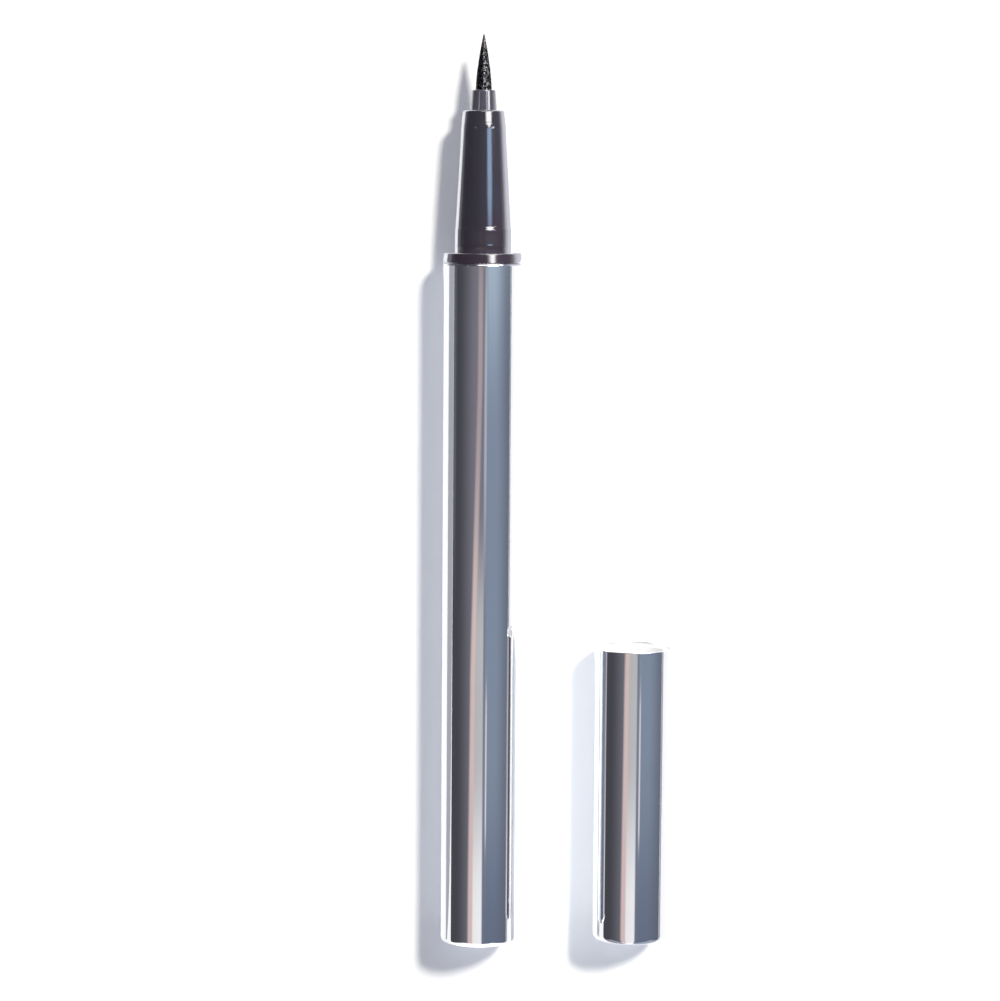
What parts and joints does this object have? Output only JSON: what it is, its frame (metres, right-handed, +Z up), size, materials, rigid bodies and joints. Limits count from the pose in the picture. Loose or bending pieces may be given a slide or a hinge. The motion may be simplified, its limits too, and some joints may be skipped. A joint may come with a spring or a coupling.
{
  "type": "liquid eyeliner pen",
  "caption": "Brush-tip liquid eyeliner pen in a mirror-finished sleeve with a tapering grip, lying flat with its cap taken off and laid beside it.",
  "frame": {"origin": "middle of the ground rectangle under the pen and its cap, on the surface that both lie on", "axes": "+Y along the pen from its closed end to its brush, +X from the pen to the cap, +Z up"},
  "size_m": [0.032, 0.1248, 0.0108],
  "materials": {
    "mirror_metal": "drawn aluminium, polished mirror bright, with a slight steel-blue tint",
    "grip_gloss_plastic": "very dark aubergine, moulded gloss",
    "smoky_plastic": "smoky grey, moulded gloss",
    "wet_bristle": "fine bristles wet with black ink",
    "black_plastic": "black, moulded satin",
    "natural_plastic": "undyed white, moulded satin",
    "ink_fibre": "bonded fibre soaked with black ink",
    "clear_film": "thin film",
    "spring_steel": "drawn spring wire"
  },
  "bodies": {
    "pen": {"barrel_sleeve": "mirror_metal", "inner_barrel": "black_plastic", "tail_plug": "black_plastic", "reservoir_core": "ink_fibre", "reservoir_wrap": "clear_film", "front_section": "grip_gloss_plastic", "tip_holder": "smoky_plastic", "brush_tip": "wet_bristle", "relay_core": "ink_fibre", "feed_holder": "black_plastic"},
    "cap": {"cap_shell": "mirror_metal", "cap_liner": "natural_plastic", "spring_seat": "black_plastic", "inner_cap_spring": "spring_steel"},
    "inner_cap": {"inner_cap": "natural_plastic"}
  },
  "joints": [
    {"name": "cap_slide", "type": "slide", "parent": "pen", "child": "cap", "axis": [0, 1, 0], "range_m": [0, 0.125]},
    {"name": "inner_cap_slide", "type": "slide", "parent": "cap", "child": "inner_cap", "axis": [0, -1, 0], "range_m": [0, 0.0012], "stiffness_N_per_m": 400, "springref_m": -0.001, "deforming": ["inner_cap_spring"]}
  ]
}
